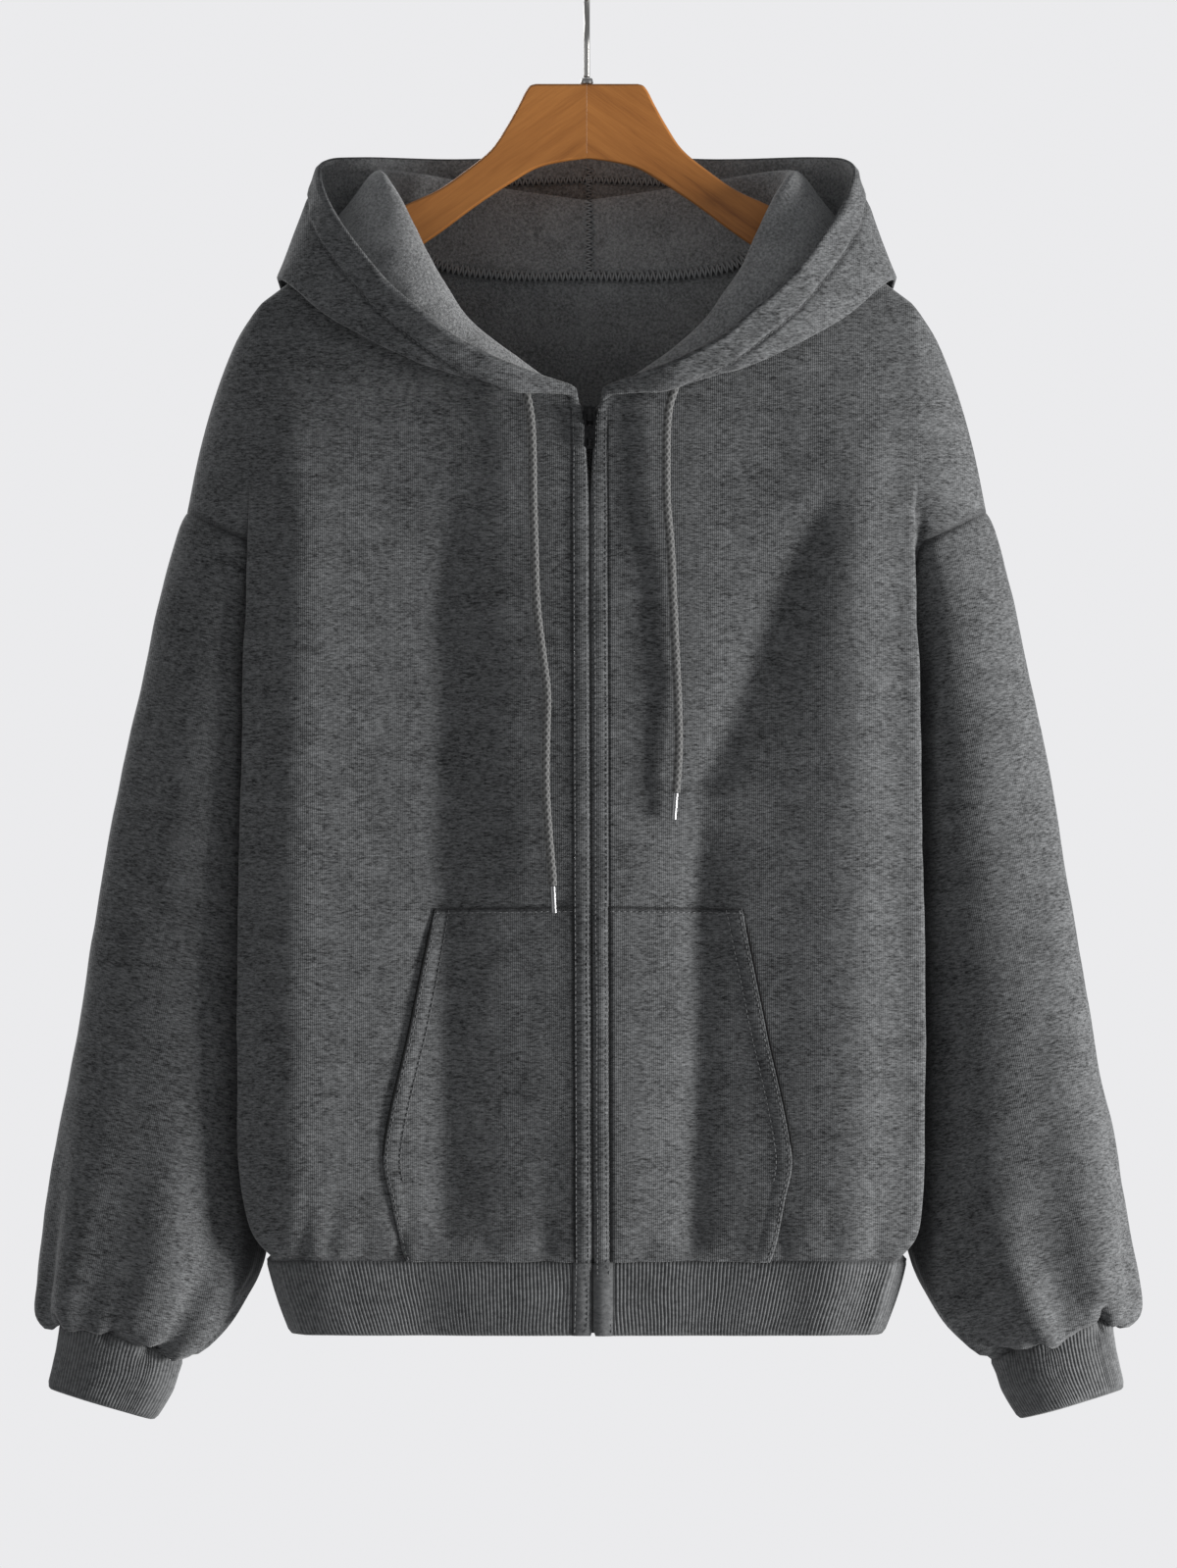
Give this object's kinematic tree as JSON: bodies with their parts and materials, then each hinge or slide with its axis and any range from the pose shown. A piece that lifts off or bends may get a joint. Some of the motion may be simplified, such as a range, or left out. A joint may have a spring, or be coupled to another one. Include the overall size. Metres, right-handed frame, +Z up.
{
  "type": "zip up hoodie on a hanger",
  "caption": "Oversized zip up hoodie with a doubled hood, patch pockets, ribbed cuffs and hem band and a drawcord, hung on a wooden hanger.",
  "frame": {"origin": "inside top of the hook, where the hanger hangs on its rail", "axes": "+Z up along the garment's length, the front faces -Y, +X is the wearer's left"},
  "size_m": [0.6838, 0.1234, 0.9045],
  "materials": {
    "cloth": "matt grey melange sweatshirt jersey, brushed inside",
    "rib": "matt grey melange rib",
    "zip_tape": "matt woven tape",
    "zip_metal": "satin black metal",
    "cord": "round braid, lighter grey",
    "tip_metal": "satin metal",
    "wood": "varnished reddish brown wood",
    "steel": "polished steel"
  },
  "bodies": {
    "garment": {"front_left": "cloth", "front_right": "cloth", "back": "cloth", "sleeve_left": "cloth", "cuff_left": "rib", "sleeve_right": "cloth", "cuff_right": "rib", "hem_band": "rib", "hood_left": "cloth", "hood_right": "cloth", "pocket_left": "cloth", "pocket_right": "cloth", "zip_tape_left": "zip_tape", "zip_tape_right": "zip_tape", "zip_teeth": "zip_metal", "zip_slider": "zip_metal", "drawcord_right": "cord", "cord_tip_right": "tip_metal", "drawcord_left": "cord", "cord_tip_left": "tip_metal", "hanger_arm_left": "wood", "hanger_arm_right": "wood", "hanger_hook": "steel", "hook_ferrule": "steel"},
    "pull_tab": {"zip_pull_tab": "zip_metal"}
  },
  "joints": [
    {"name": "pull_tab_swing", "type": "hinge", "parent": "garment", "child": "pull_tab", "pos_m": [0.00184, -0.0444, -0.2792], "axis": [-1, 0, 0], "range_deg": [0, 120]}
  ]
}
